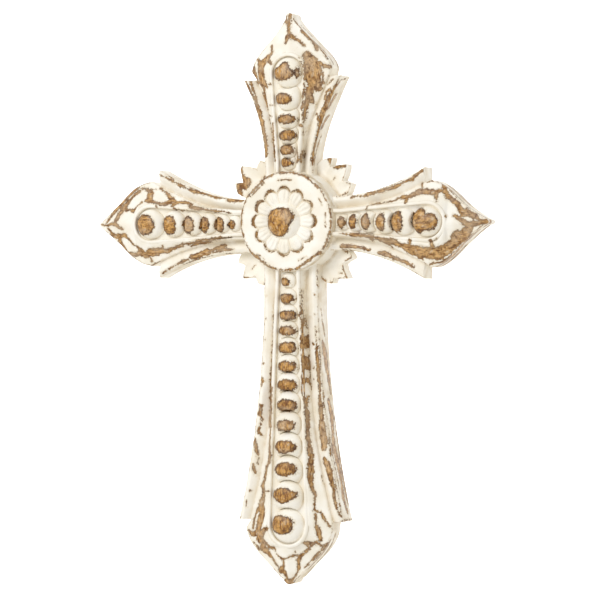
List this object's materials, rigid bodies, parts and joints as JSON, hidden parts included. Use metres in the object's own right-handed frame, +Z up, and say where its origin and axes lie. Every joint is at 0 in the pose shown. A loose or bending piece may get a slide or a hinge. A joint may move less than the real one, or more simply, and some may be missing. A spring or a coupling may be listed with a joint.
{
  "type": "wall cross",
  "caption": "Hand-carved wooden wall cross with pointed flared arms, rows of domed beads and a round petalled rosette, in worn cream paint, flat behind to hang on a wall.",
  "frame": {"origin": "on the flat back, behind the middle of the rosette", "axes": "+Z up towards the top arm, +X to the right as seen from the front, +Y out of the back into the wall; the carved front looks along -Y"},
  "size_m": [0.301, 0.0313, 0.4067],
  "materials": {
    "rubbed_cream_paint": "matt cream paint on carved hardwood, rubbed through to the golden brown wood on beads, ridges and edges"
  },
  "bodies": {
    "root": {"wall_cross": "rubbed_cream_paint"}
  },
  "joints": []
}
